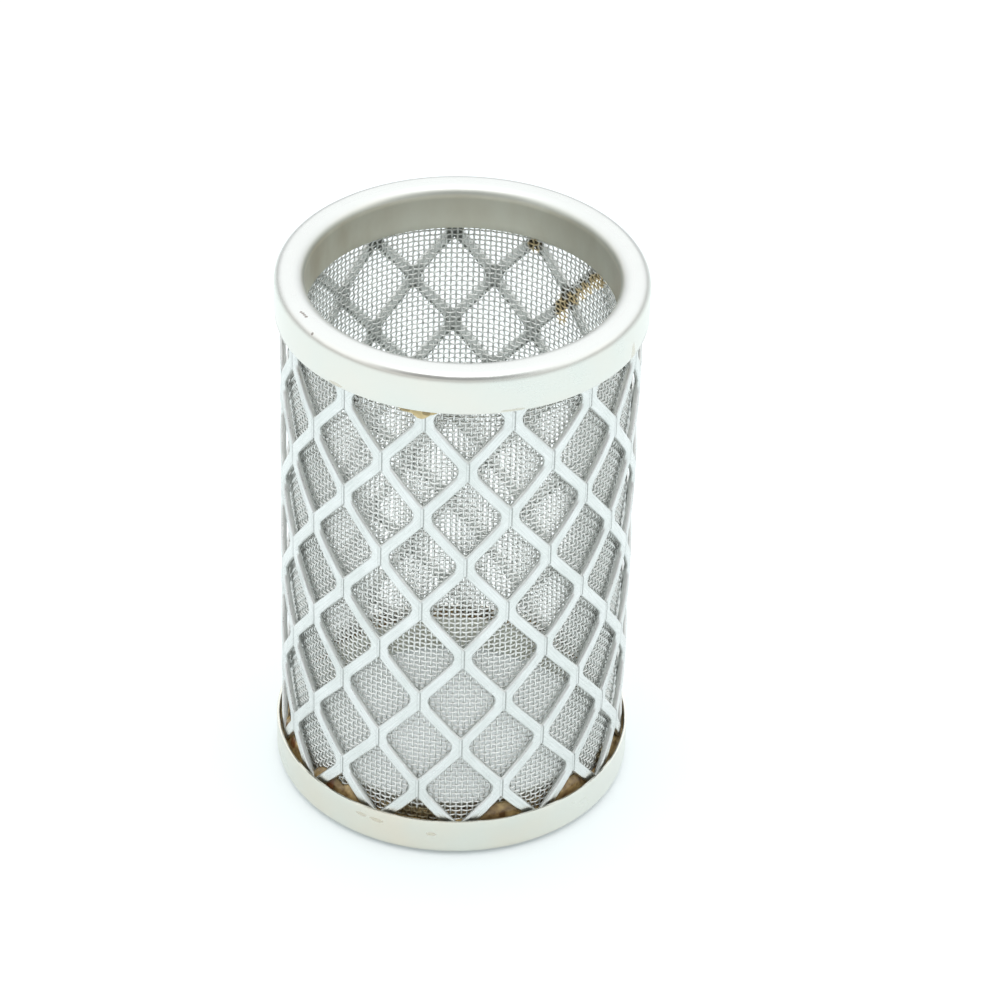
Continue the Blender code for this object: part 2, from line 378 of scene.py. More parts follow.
# Two pieces of weft and two of warp, which share the sizes of the weave
weave = {
    "Pairs": weft_count // 4,
    "Cloth Radius": cloth_radius,
    "Pitch": weft_pitch,
    "First Height": first_weft,
    "Wire Radius": wire_diameter / 2,
}
weft_sizes = dict(weave, Crimp=weft_crimp, **{"Warp Wires": warp_count})
warp_sizes = dict(weave, Crimp=warp_crimp, Crossings=weft_count, Step=warp_step, **{"First Angle": 0.0})
weft_tree = weft_weaving(weft_sizes)
warp_tree = warp_weaving(warp_sizes)
upper_sizes = dict(weft_sizes, **{"First Height": first_weft + weft_pitch * weft_count / 2})
right_sizes = dict(warp_sizes, Pairs=warp_pairs_right)
left_sizes = dict(warp_sizes, Pairs=warp_count // 2 - warp_pairs_right)
left_sizes["First Angle"] = warp_pairs_right * 2 * warp_step
for name, woven_tree, sizes in (
    ("cloth_weft_lower", weft_tree, weft_sizes),
    ("cloth_weft_upper", weft_tree, upper_sizes),
    ("cloth_warp_right", warp_tree, right_sizes),
    ("cloth_warp_left", warp_tree, left_sizes),
):
    piece = form_piece(name, woven_tree, sizes, cloth_finish)
    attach(piece, "root")
    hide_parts("wire_cloth_sleeve")


# Expanded metal sleeve
# Stainless sheet that is slit, stretched into diamonds, flattened and rolled round the cloth. Its
# edges are sheared, and each bond keeps a crease where two strands meet.
lattice_low, lattice_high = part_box("expanded_metal_sleeve")
lattice_radius = lattice_high.x
lattice_sheet = 0.0009
diamonds_round = 13
diamond_rows = 7
diamond_height = 0.0172
bond_width = 0.0029
bond_length = 0.0037
corner_radius = 0.0018
edge_radius = 0.00040
edge_margin = 0.00004
pattern_turn = math.radians(-10.0)
pattern_height = 0.0466
straight_steps = 4
corner_steps = 6
joining_distance = 0.00001
sharpest_smooth = math.radians(50)
diamond_pitch = math.tau * lattice_radius / diamonds_round
lattice_colour = (0.7, 0.72, 0.7, 1.0)
dull_face = (0.72, 0.75, 0.73, 1.0)
bright_face = (0.80, 0.82, 0.81, 1.0)
crease_painted_shade = (0.22, 0.23, 0.22, 1.0)
drawn_colour = (0.50, 0.52, 0.51, 1.0)
sheared_colour = (0.74, 0.76, 0.74, 1.0)
inside_painted_light = (0.93, 0.95, 0.93, 1.0)
edge_shade_and_bond_colour = (0.16, 0.175, 0.155, 1.0)
lattice_soak_colour = (0.075, 0.062, 0.030, 1.0)


def hole_quarter():
    """A quarter of a diamond hole, from its sharp upper tip to its rounded right-hand corner."""
    tip = (diamond_height - bond_length) / 2
    side = (diamond_pitch - bond_width) / 2 - corner_radius
    distance = math.hypot(side, tip)
    turn = math.pi - math.atan2(tip, side) - math.acos(corner_radius / distance)
    touch = (side + corner_radius * math.cos(turn), corner_radius * math.sin(turn))
    points = []
    for step in range(straight_steps):
        share = step / straight_steps
        points.append((touch[0] * share, tip + (touch[1] - tip) * share, turn))
    for step in range(corner_steps + 1):
        angle = turn * (1 - step / corner_steps)
        points.append((side + corner_radius * math.cos(angle), corner_radius * math.sin(angle), angle))
    return points


tip_angle = hole_quarter()[0][2]


def whole_round(quarter):
    """Mirrors a quarter of (across, along, outward angle) points into a closed round."""
    right = quarter + [(x, -y, -angle) for x, y, angle in reversed(quarter[:-1])]
    left = [(-x, y, math.pi - angle) for x, y, angle in reversed(right[1:-1])]
    return right + left


def rounded_edge(degrees, face, way):
    """How far back and how high the rounded edge is, from level with a face to square to it."""
    angle = math.radians(degrees)
    return edge_radius * (1 - math.sin(angle)), face + way * edge_radius * (1 - math.cos(angle))


def inset_point(x, y, angle, inset, height):
    """Moves a point of the hole's edge back into the metal. The tips keep to the middle line."""
    if abs(x) < 1e-9:
        return (x, y + math.copysign(inset / max(math.sin(abs(tip_angle)), 0.3), y), height)
    return (x + inset * math.cos(angle), y + inset * math.sin(angle), height)


def lattice_blank():
    """One hole and the half strands round it, laid flat, with its outer face at height 0."""
    quarter = hole_quarter()
    steps = len(quarter) - 1
    rhombus = []
    for step in range(steps + 1):
        share = step / steps
        rhombus.append((diamond_pitch / 2 * share, diamond_height / 2 * (1 - share), 0))
    hole = whole_round(quarter)
    border = whole_round(rhombus)
    levels = [("border", 0.0), (edge_radius + edge_margin, 0.0)]
    levels += [rounded_edge(degrees, 0.0, -1) for degrees in (0, 18, 36, 54, 72, 90)]
    levels += [rounded_edge(degrees, -lattice_sheet, 1) for degrees in (90, 67, 45, 22, 0)]
    levels.append(("border", -lattice_sheet))
    bm = bmesh.new()
    loops = []
    for inset, height in levels:
        if inset == "border":
            loops.append([bm.verts.new((x, y, height)) for x, y, _ in border])
        else:
            loops.append([bm.verts.new(inset_point(x, y, angle, inset, height)) for x, y, angle in hole])
    for upper, lower in zip(loops, loops[1:]):
        for i in range(len(upper)):
            bm.faces.new((upper[i - 1], upper[i], lower[i], lower[i - 1]))
    mesh = bpy.data.meshes.new("lattice_blank")
    bm.to_mesh(mesh)
    bm.free()
    return mesh


def lattice_rolling(sizes):
    """Sets the blanks out on the flat, rolls them round the axis and joins their shared borders."""
    tree, size = start_forming("lattice_rolling", sizes)
    columns = calculate(tree, "MULTIPLY", size["Diamonds Round"], 2)
    index = add_node(tree, "GeometryNodeInputIndex").outputs[0]
    column = calculate(tree, "MODULO", index, columns)
    row = calculate(tree, "FLOOR", calculate(tree, "DIVIDE", index, columns))
    girth = calculate(tree, "MULTIPLY", size["Sleeve Radius"], math.tau)
    across = calculate(tree, "MULTIPLY", column, calculate(tree, "DIVIDE", girth, columns))
    stagger = calculate(tree, "MULTIPLY", calculate(tree, "MODULO", column, 2), 0.5)
    level = calculate(tree, "ADD", row, stagger)
    along = calculate(tree, "MULTIPLY_ADD", level, size["Diamond Height"], size["First Height"])
    count = calculate(tree, "MULTIPLY", columns, size["Rows"])
    point_inputs = {"Count": count, "Position": combine(tree, across, along, 0)}
    points = add_node(tree, "GeometryNodePoints", point_inputs).outputs[0]
    laying = {"Points": points, "Instance": size["Geometry"]}
    laid = add_node(tree, "GeometryNodeInstanceOnPoints", laying).outputs[0]
    real = add_node(tree, "GeometryNodeRealizeInstances", {0: laid}).outputs[0]
    flat_x, flat_y, flat_z = split(tree, add_node(tree, "GeometryNodeInputPosition").outputs[0])
    turned = calculate(tree, "DIVIDE", flat_x, size["Sleeve Radius"])
    angle = calculate(tree, "ADD", turned, size["Pattern Turn"])
    radius = calculate(tree, "ADD", flat_z, size["Sleeve Radius"])
    x = calculate(tree, "MULTIPLY", radius, calculate(tree, "SINE", angle))
    forwards = calculate(tree, "MULTIPLY", radius, calculate(tree, "COSINE", angle))
    rolled = combine(tree, x, calculate(tree, "MULTIPLY", forwards, -1), flat_y)
    tube = add_node(tree, "GeometryNodeSetPosition", {"Geometry": real, "Position": rolled}).outputs[0]
    joining = {"Geometry": tube, "Distance": joining_distance}
    joined = add_node(tree, "GeometryNodeMergeByDistance", joining).outputs[0]
    end_forming(tree, joined, size["Finish"])
    return tree


def cut_level(mesh, height, direction):
    """Cuts a tube off level and closes its cut strands."""
    bm = bmesh.new()
    bm.from_mesh(mesh)
    cut = {"dist": 1e-6, "plane_co": (0, 0, height), "plane_no": (0, 0, direction), "clear_outer": True}
    bmesh.ops.bisect_plane(bm, geom=list(bm.verts) + list(bm.edges) + list(bm.faces), **cut)
    bmesh.ops.holes_fill(bm, edges=[edge for edge in bm.edges if edge.is_boundary], sides=0)
    bmesh.ops.recalc_face_normals(bm, faces=bm.faces)
    bm.to_mesh(mesh)
    bm.free()


def band(tree, value, middle, half_width, softness):
    """1 within a band of values, falling to 0 at both sides."""
    away = calculate(tree, "ABSOLUTE", calculate(tree, "SUBTRACT", value, middle))
    return fade(tree, away, half_width + softness, half_width, soft=True)


def emboss(tree, shader, height):
    """Raises the surface by a height in metres."""
    bump = add_node(tree, "ShaderNodeBump", {"Height": height, "Strength": 1.0, "Distance": 1.0})
    tree.links.new(bump.outputs[0], shader.inputs["Normal"])


def distance_from_axis(tree, x, y):
    return calculate_vector(tree, "LENGTH", {0: combine(tree, x, y, 0)})


# Adhesive on the back of the strands at the back right
lattice_soaks = [
    (144.5, 0.0700, 0.0018, 0.0036),
    (142.0, 0.0724, 0.0018, 0.0024),
    (138.9, 0.0740, 0.0017, 0.0012),
    (135.4, 0.0762, 0.0017, 0.0013),
    (131.9, 0.0784, 0.0018, 0.0014),
    (128.5, 0.0806, 0.0020, 0.0020),
    (156.1, 0.0805, 0.0014, 0.0018),
]

lattice_finish, tree, shader, point = start_finish("expanded_stainless", lattice_colour, 0.3, 1.0)
grain = use_effect(tree, grain_effect, {"Point": point, "Fineness": 1800.0, "Cloud Size": 220.0})
x, y, z = split(tree, point)

# Where a point is in the pattern of rising and falling strands, and how far from the nearest bond
turn = calculate(tree, "ARCTAN2", x, calculate(tree, "MULTIPLY", y, -1))
from_pattern = calculate(tree, "SUBTRACT", turn, pattern_turn)
half_columns = calculate(tree, "MULTIPLY", from_pattern, 2 * diamonds_round / math.tau)
above_pattern = calculate(tree, "SUBTRACT", z, pattern_height)
half_rows = calculate(tree, "DIVIDE", above_pattern, diamond_height / 2)
rising = calculate(tree, "MULTIPLY", calculate(tree, "ADD", half_columns, half_rows), 0.5)
falling = calculate(tree, "MULTIPLY", calculate(tree, "SUBTRACT", half_columns, half_rows), 0.5)
rising_part = calculate(tree, "SUBTRACT", rising, calculate(tree, "ROUND", rising))
falling_part = calculate(tree, "SUBTRACT", falling, calculate(tree, "ROUND", falling))
part_sum = calculate(tree, "ADD", rising_part, falling_part)
part_difference = calculate(tree, "SUBTRACT", rising_part, falling_part)
beside_bond = calculate(tree, "MULTIPLY", part_sum, diamond_pitch / 2)
above_bond = calculate(tree, "MULTIPLY", part_difference, diamond_height / 2)
rising_away = calculate(tree, "ABSOLUTE", rising_part)
falling_away = calculate(tree, "ABSOLUTE", falling_part)
on_rising = calculate(tree, "LESS_THAN", falling_away, rising_away)

# A crease down each bond, bumped in and darkened with painted shade, with a fainter one beside it
along_bond = band(tree, above_bond, 0.0, 0.0015, 0.0005)
crease = band(tree, beside_bond, 0.00020, 0.00003, 0.00013)
faint_crease = calculate(tree, "MULTIPLY", band(tree, beside_bond, -0.00025, 0.00003, 0.00008), 0.35)
crease_line = calculate(tree, "MULTIPLY", calculate(tree, "MAXIMUM", crease, faint_crease), along_bond)

# Drawn lines along each strand
across_change = calculate(tree, "SUBTRACT", falling_part, rising_part)
across_strand = calculate(tree, "MULTIPLY_ADD", on_rising, across_change, rising_part)
along_change = calculate(tree, "SUBTRACT", rising, falling)
along_strand = calculate(tree, "MULTIPLY_ADD", on_rising, along_change, falling)
drawn_way = combine(
    tree,
    calculate(tree, "MULTIPLY", across_strand, 45.0),
    calculate(tree, "MULTIPLY", along_strand, 2.5),
    calculate(tree, "MULTIPLY", on_rising, 9.0),
)
striae = noise(tree, drawn_way, 1.0, 3.0)
drawn_height = calculate(tree, "MULTIPLY", striae, 0.00007)
creased_height = calculate(tree, "MULTIPLY_ADD", crease_line, -0.00006, drawn_height)
emboss(tree, shader, calculate(tree, "MULTIPLY_ADD", grain["Clouds"], 0.00005, creased_height))

# The outer face, and the greyer sheared edges below it
from_axis = distance_from_axis(tree, x, y)
below_face = fade(tree, from_axis, lattice_radius - 0.00032, lattice_radius - 0.00046)
shade = blend_colours(tree, grain["Clouds"], dull_face, bright_face)
# Painted shade along the creases
shade = blend_colours(tree, calculate(tree, "MULTIPLY", crease_line, 0.72), shade, crease_painted_shade)
streaky = calculate(tree, "MULTIPLY", fade(tree, striae, 0.40, 0.66), 0.30)
shade = blend_colours(tree, streaky, shade, drawn_colour)
shade = blend_colours(tree, below_face, shade, sheared_colour)

# The inner face, lightened with painted light, with painted shade along the lower edges, and darker on the
# bonds, most near the top ring
inside_face = fade(tree, from_axis, lattice_radius - 0.00060, lattice_radius - 0.00080)
# Painted shade along the lower edge of each strand, and the bonds darker, most near the top ring
falling_side = calculate(tree, "MULTIPLY", rising_part, -1.0)
lower_way = calculate(tree, "MULTIPLY_ADD", on_rising, part_sum, falling_side)
lower_edge_shade = calculate(tree, "MULTIPLY", band(tree, lower_way, 0.076, 0.024, 0.020), 0.85)
bond_middle = band(tree, beside_bond, 0.0, 0.0011, 0.0006)
dark_bond = calculate(tree, "MULTIPLY", bond_middle, band(tree, above_bond, 0.0, 0.0017, 0.0011))
dark_bond_height = fade(tree, z, 0.0730, 0.0790, 0.40, 0.95)
edge_shade_and_dark_bond = calculate(tree, "MAXIMUM", lower_edge_shade, calculate(tree, "MULTIPLY", dark_bond, dark_bond_height))
shade = blend_colours(tree, inside_face, shade, blend_colours(tree, edge_shade_and_dark_bond, inside_painted_light, edge_shade_and_bond_colour))

# Soaks on the inner face and the edges only
strand_soaks = spots(tree, point, lattice_radius - lattice_sheet, lattice_soaks, 0.8)
soaked = calculate(tree, "MULTIPLY", strand_soaks, below_face)
tree.links.new(blend_colours(tree, soaked, shade, lattice_soak_colour), shader.inputs["Base Color"])
tree.links.new(calculate(tree, "SUBTRACT", 1.0, soaked), shader.inputs["Metallic"])
rough_face = calculate(tree, "MULTIPLY_ADD", grain["Scratches"], 0.20, 0.20)
rough_edge = calculate(tree, "MULTIPLY_ADD", below_face, 0.12, rough_face)
tree.links.new(rough_edge, shader.inputs["Roughness"])

lattice_sizes = {
    "Diamonds Round": diamonds_round,
    "Rows": diamond_rows,
    "Diamond Height": diamond_height,
    "Sleeve Radius": lattice_radius,
    "Pattern Turn": pattern_turn,
    "First Height": pattern_height - diamond_rows / 2 * diamond_height,
}
lattice_tree = lattice_rolling(lattice_sizes)
lattice = form_piece("expanded_metal", lattice_tree, lattice_sizes, lattice_finish, lattice_blank())
cut_level(lattice.data, lattice_low.z, -1)
cut_level(lattice.data, lattice_high.z, 1)
lattice.data.set_sharp_from_angle(angle=sharpest_smooth)
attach(lattice, "root")
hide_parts("expanded_metal_sleeve")


# End rings
# Two rings pressed from thin stainless sheet into a U-section, with a long skirt in the bore and a
# shorter one outside. The sleeves stand in the channel, and the adhesive holds them there.
_, ring_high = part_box("bottom_end_ring")
ring_radius = ring_high.x
ring_sheet = 0.0004
outer_skirt_height = 0.0067
inner_skirt_height = ring_high.z
rim_bend = 0.0016
bore_bend = 0.0019
bore_radius = 0.0234
edge_round = 0.00005
ring_steps = 224
bend_steps = 12
ring_colour = (0.67, 0.69, 0.66, 1.0)
cream_steel = (0.745, 0.728, 0.668, 1.0)
cool_steel = (0.712, 0.736, 0.694, 1.0)
foot_cream_steel = (0.735, 0.698, 0.605, 1.0)
foot_cool_steel = (0.695, 0.722, 0.668, 1.0)
foot_right_painted_light = (0.765, 0.778, 0.725, 1.0)
land_steel = (0.665, 0.688, 0.676, 1.0)
bore_tan = (0.57, 0.53, 0.42, 1.0)
bore_pale = (0.72, 0.72, 0.62, 1.0)
bore_back_painted_light = (0.83, 0.83, 0.73, 1.0)
bore_right_painted_shade = (0.36, 0.36, 0.31, 1.0)
bore_bend_painted_shade = (0.30, 0.29, 0.235, 1.0)
foot_bore_painted_shade = (0.22, 0.23, 0.19, 1.0)
bore_bend_grey = (0.49, 0.52, 0.48, 1.0)
smear_colour = (0.42, 0.34, 0.18, 1.0)
nick_colour = (0.20, 0.17, 0.15, 1.0)


def arc(middle_radius, middle_height, radius, start, end, steps):
    """Points of (radius, height) along a bend, from one angle in degrees to another."""
    points = []
    for step in range(steps + 1):
        angle = math.radians(start + (end - start) * step / steps)
        points.append((middle_radius + radius * math.cos(angle), middle_height + radius * math.sin(angle)))
    return points


def ring_section():
    """Outline of the pressed sheet, down the outer skirt, under the foot and up the bore."""
    rim_middle = ring_radius - rim_bend
    bore_middle = bore_radius + bore_bend
    outer_top = outer_skirt_height - edge_round
    inner_top = inner_skirt_height - edge_round
    outline = arc(ring_radius - ring_sheet + edge_round, outer_top, edge_round, 180, 90, 2)
    outline += arc(ring_radius - edge_round, outer_top, edge_round, 90, 0, 2)
    outline += [(ring_radius, outer_skirt_height * share) for share in (0.8, 0.5, 0.3)]
    outline += arc(rim_middle, rim_bend, rim_bend, 0, -90, bend_steps)
    outline += arc(bore_middle, bore_bend, bore_bend, 270, 180, bend_steps)
    outline += [(bore_radius, inner_skirt_height * share) for share in (0.3, 0.6, 0.85)]
    outline += arc(bore_radius + edge_round, inner_top, edge_round, 180, 90, 2)
    outline += arc(bore_radius + ring_sheet - edge_round, inner_top, edge_round, 90, 0, 2)
    outline += arc(bore_middle, bore_bend, bore_bend - ring_sheet, 180, 270, bend_steps // 2)
    outline += arc(rim_middle, rim_bend, rim_bend - ring_sheet, -90, 0, bend_steps // 2)
    return outline


def join_sections(name, sections, material, flip):
    """Joins sections of (radius, height) points round the axis, standing or hung from the top."""
    bm = bmesh.new()
    rounds = []
    for step, section in enumerate(sections):
        angle = math.tau * step / len(sections)
        points = []
        for radius, height in section:
            rise = cad_high.z - height if flip else height
            points.append(bm.verts.new((radius * math.sin(angle), -radius * math.cos(angle), rise)))
        rounds.append(points)
    for near, far in zip(rounds, rounds[1:] + rounds[:1]):
        for i in range(len(near)):
            bm.faces.new((near[i - 1], near[i], far[i], far[i - 1]))
    bmesh.ops.recalc_face_normals(bm, faces=bm.faces)
    mesh = bpy.data.meshes.new(name)
    bm.to_mesh(mesh)
    bm.free()
    mesh.materials.append(material)
    mesh.shade_smooth()
    piece = bpy.data.objects.new(name, mesh)
    bpy.context.collection.objects.link(piece)
    return piece


# Faint tan smears of adhesive on the skirts, and small nicks on the left of the top rim
skirt_smears = [
    (65.2, 0.0841, 0.0007, 0.0017),
    (-28.7, 0.0050, 0.0010, 0.0004),
    (-23.3, 0.0049, 0.0013, 0.0004),
    (-5.0, 0.0042, 0.0009, 0.0004),
    (-39.5, 0.0836, 0.0014, 0.0003),
    (17.0, 0.0836, 0.0020, 0.0002),
]
rim_nicks = [
    (-61.3, 0.0265, 0.0900, 0.00022, 0.0003),
    (-60.3, 0.0264, 0.0900, 0.00026, 0.0003),
    (-59.3, 0.0264, 0.0900, 0.00026, 0.0003),
    (-58.2, 0.0264, 0.0900, 0.00030, 0.0003),
    (-50.6, 0.0276, 0.08945, 0.00026, 0.0003),
]

ring_finish, tree, shader, point = start_finish("pressed_stainless", ring_colour, 0.22, 1.0)
x, y, z = split(tree, point)
from_axis = distance_from_axis(tree, x, y)
from_middle = calculate(tree, "ABSOLUTE", calculate(tree, "SUBTRACT", z, cad_high.z / 2))
round_the_ring = combine(tree, calculate(tree, "MULTIPLY", x, 0.15), z, 0)
grain = use_effect(tree, grain_effect, {"Point": point, "Fineness": 900.0, "Cloud Size": 75.0})
drawn = use_effect(tree, grain_effect, {"Point": round_the_ring, "Fineness": 5200.0, "Cloud Size": 700.0})

# Outer skirts between cream and cool grey, with painted light on the right of the foot, and the flat land
at_foot = calculate(tree, "LESS_THAN", z, cad_high.z / 2)
painted_light_to_right = fade(tree, x, 0.0090, 0.0255, soft=True)
outer_shade = blend_colours(tree, grain["Clouds"], cream_steel, cool_steel)
foot_shade = blend_colours(tree, grain["Clouds"], foot_cream_steel, foot_cool_steel)
foot_shade = blend_colours(tree, painted_light_to_right, foot_shade, foot_right_painted_light)
outer_shade = blend_colours(tree, at_foot, outer_shade, foot_shade)
on_land = fade(tree, from_middle, 0.0440, 0.0448)
outer_shade = blend_colours(tree, on_land, outer_shade, land_steel)

# Upright streaks down the bore skirts, with painted light at the back and painted shade at the right,
# towards the bend and down in the bottom ring
bore_way = combine(tree, x, y, calculate(tree, "MULTIPLY", z, 0.45))
streaks = use_effect(tree, grain_effect, {"Point": bore_way, "Fineness": 1500.0, "Cloud Size": 190.0})
bore_shade = blend_colours(tree, streaks["Clouds"], bore_tan, bore_pale)
# Painted light at the back of the bore, and painted shade at its right
bore_shade = blend_colours(tree, fade(tree, y, 0.0150, 0.0220, 0.0, 0.50), bore_shade, bore_back_painted_light)
bore_shade = blend_colours(tree, fade(tree, x, 0.0100, 0.0190, 0.0, 0.42), bore_shade, bore_right_painted_shade)
# Painted shade down the bore skirt towards the bend
below_bend = fade(tree, from_middle, 0.0380, 0.0428, 0.0, 0.30)
before_bend = fade(tree, from_middle, 0.0430, 0.0435, 1.0, 0.0)
painted_shade_near_bend = calculate(tree, "MULTIPLY", below_bend, before_bend)
bore_shade = blend_colours(tree, painted_shade_near_bend, bore_shade, bore_bend_painted_shade)
# Painted shade in the bottom ring's bore
bore_shade = blend_colours(tree, calculate(tree, "MULTIPLY", at_foot, 0.30), bore_shade, foot_bore_painted_shade)
on_bore_bend = fade(tree, from_axis, bore_radius + 0.00002, bore_radius + 0.00018, 0.0, 0.85)
bore_shade = blend_colours(tree, on_bore_bend, bore_shade, bore_bend_grey)
in_bore = fade(tree, from_axis, bore_radius + 0.0007, bore_radius + 0.0001, soft=True)
ring_shade = blend_colours(tree, in_bore, outer_shade, bore_shade)

# Smears and nicks, which are less like bare metal
smeared = spots(tree, point, ring_radius, skirt_smears, 0.8)
nicked = None
for degrees, radius, height, width, tall in rim_nicks:
    one = spots(tree, point, radius, [(degrees, height, width, tall)], 0.5)
    nicked = one if nicked is None else calculate(tree, "MAXIMUM", nicked, one)
ring_shade = blend_colours(tree, calculate(tree, "MULTIPLY", smeared, 0.28), ring_shade, smear_colour)
ring_shade = blend_colours(tree, calculate(tree, "MULTIPLY", nicked, 0.8), ring_shade, nick_colour)
tree.links.new(ring_shade, shader.inputs["Base Color"])
marks = calculate(tree, "MAXIMUM", smeared, nicked)
tree.links.new(calculate(tree, "MULTIPLY_ADD", marks, -0.4, 1.0), shader.inputs["Metallic"])

# The bore is rougher than the bright outside, and fine drawn lines and shallow dents run round both
rougher_bore = fade(tree, from_axis, bore_radius + 0.0022, bore_radius + 0.0008, 0.17, 0.36)
sheen = calculate(tree, "MULTIPLY_ADD", grain["Clouds"], 0.08, rougher_bore)
tree.links.new(calculate(tree, "MULTIPLY_ADD", drawn["Scratches"], 0.06, sheen), shader.inputs["Roughness"])
dents = calculate(tree, "MULTIPLY", grain["Clouds"], 0.00008)
emboss(tree, shader, calculate(tree, "MULTIPLY_ADD", drawn["Scratches"], 0.000002, dents))

for name, node, flip in (("bottom_ring", "bottom_end_ring", False), ("top_ring", "top_end_ring", True)):
    ring = join_sections(name, [ring_section()] * ring_steps, ring_finish, flip)
    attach(ring, "root")
    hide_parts(node)


# Adhesive
# Amber two-part adhesive that fills the end of each channel, wets the cloth and the strands, and
# has crept up past the skirts in places before it set. A tan drip hangs under the top ring.
adhesive_steps = 360
channel_clearance = 0.00003
channel_outside = ring_radius - ring_sheet - channel_clearance
channel_inside = bore_radius + ring_sheet + channel_clearance
cloth_outside = cloth_radius + wire_diameter
cloth_inside = cloth_radius - wire_diameter
film_radius = lattice_radius - 0.00025
film_steps = 6
resting_edge = 0.0052
resting_level = 0.0054
adhesive_colour = (0.36, 0.22, 0.08, 1.0)
dark_amber = (0.105, 0.048, 0.015, 1.0)
light_amber = (0.56, 0.40, 0.175, 1.0)
olive_amber = (0.17, 0.145, 0.075, 1.0)
burnt_amber = (0.175, 0.070, 0.024, 1.0)
dark_tan = (0.50, 0.40, 0.19, 1.0)
light_tan = (0.70, 0.56, 0.29, 1.0)
drip_mark_colour = (0.20, 0.14, 0.045, 1.0)

# Places where it has crept up behind the strands: degrees, half width in degrees, height
bottom_creeps = [
    (-79, 7, 0.0072), (-66, 9, 0.0080), (-46, 8, 0.0080), (-36, 4.5, 0.0076), (19, 10, 0.0083),
    (46, 9, 0.0083), (76, 9, 0.0062), (118, 14, 0.0078), (170, 10, 0.0080), (-135, 12, 0.0076),
]
top_creeps = [(17, 4, 0.0070), (95, 9, 0.0072), (150, 12, 0.0076), (-120, 8, 0.0071)]

# Runs that came out past the edge of the top skirt: degrees, half width in degrees, height
top_runs = [
    (-11.0, 4.4, 0.0085), (-15.0, 6, 0.0077), (-8.5, 4.6, 0.0077), (-39, 3, 0.0069), (17.3, 3, 0.0069),
]

# The drip's darker marks and the burnt spots: degrees, height, half width, half height
drip_marks = [(-9.2, 0.0828, 0.0007, 0.0005), (-15.5, 0.0829, 0.0008, 0.0004)]
burnt_spots = [(-69.0, 0.0066, 0.0011, 0.0009), (-44.0, 0.0066, 0.0009, 0.0012)]


def creep_level(degrees, creeps, resting):
    """Height of the adhesive at one place round the ring."""
    angle = math.radians(degrees)
    level = resting + 0.00012 * math.sin(angle * 7) + 0.00008 * math.sin(angle * 19)
    for middle, spread, height in creeps:
        away = abs((degrees - middle + 180) % 360 - 180) / spread
        if away < 1:
            level = max(level, resting + (height - resting) * (1 - away * away) ** 0.6)
    return level


def adhesive_section(degrees, creeps, runs):
    """Section of the adhesive: up the outer skirt, over to the cloth, under it and up inside."""
    edge_level = creep_level(degrees, runs, resting_edge)
    level = max(edge_level, creep_level(degrees, creeps, resting_level))
    section = [(channel_outside, 0.0012), (channel_outside, edge_level - 0.0005)]
    section += [(channel_outside - 0.00006, edge_level - 0.0002), (channel_outside - 0.00025, edge_level)]
    film_level = max(edge_level - 0.0002, 0.0051)
    for step in range(film_steps):
        share = step / film_steps
        radius = film_radius + (cloth_outside - film_radius) * share ** 1.5
        section.append((radius, film_level + (level - film_level) * math.sin(share * math.pi / 2)))
    inside_level = 0.0062 + 0.0003 * math.sin(math.radians(degrees) * 5)
    section += [(cloth_outside, level + 0.00015), (cloth_outside, 0.0024), (cloth_inside, 0.0024)]
    section += [(cloth_inside, inside_level + 0.0002), ((cloth_inside + channel_inside) / 2, inside_level)]
    section += [(channel_inside, inside_level - 0.0001), (channel_inside, 0.0021)]
    return section


# Cloudy amber with burnt spots in the bottom ring, and lighter tan with a marked drip in the top one
adhesive_finish, tree, shader, point = start_finish("amber_adhesive", adhesive_colour, 0.28, 0.0)
grain = use_effect(tree, grain_effect, {"Point": point, "Fineness": 1500.0, "Cloud Size": 640.0})
wide = use_effect(tree, grain_effect, {"Point": point, "Fineness": 1500.0, "Cloud Size": 190.0})
amber = blend_colours(tree, grain["Clouds"], dark_amber, light_amber)
amber = blend_colours(tree, calculate(tree, "MULTIPLY", wide["Clouds"], 0.38), amber, olive_amber)
amber = blend_colours(tree, spots(tree, point, 0.0268, burnt_spots, 0.8), amber, burnt_amber)
tan = blend_colours(tree, grain["Clouds"], dark_tan, light_tan)
marked = calculate(tree, "MULTIPLY", spots(tree, point, 0.0274, drip_marks, 0.8), 0.7)
tan = blend_colours(tree, marked, tan, drip_mark_colour)
at_top = calculate(tree, "GREATER_THAN", split(tree, point)[2], cad_high.z / 2)
tree.links.new(blend_colours(tree, at_top, amber, tan), shader.inputs["Base Color"])
emboss(tree, shader, calculate(tree, "MULTIPLY", grain["Scratches"], 0.00015))
shader.inputs["Coat Weight"].default_value = 0.1

for name, node, creeps, runs, flip in (
    ("bottom_adhesive", "bottom_adhesive_bed", bottom_creeps, [], False),
    ("top_adhesive", "top_adhesive_bed", top_creeps, top_runs, True),
):
    places = [360 * step / adhesive_steps for step in range(adhesive_steps)]
    sections = [adhesive_section(degrees, creeps, runs) for degrees in places]
    bed = join_sections(name, sections, adhesive_finish, flip)
    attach(bed, "root")
    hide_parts(node)


# Floor
# A plain white sweep under the element, lit so brightly that only the shade round the foot shows.
floor_radius = 3.0
floor_gap = 0.0001
floor_colour = (0.80, 0.83, 0.83, 1.0)
near_dark = (0.718, 0.772, 0.785, 1.0)
near_light = (0.728, 0.782, 0.795, 1.0)
far_colour = (0.56, 0.59, 0.60, 1.0)

floor_mesh = bpy.data.meshes.new("floor")
bm = bmesh.new()
place = Matrix.Translation((0, 0, -floor_gap))
bmesh.ops.create_circle(bm, cap_ends=True, segments=96, radius=floor_radius, matrix=place)
bm.to_mesh(floor_mesh)
bm.free()
floor = bpy.data.objects.new("floor", floor_mesh)
bpy.context.collection.objects.link(floor)

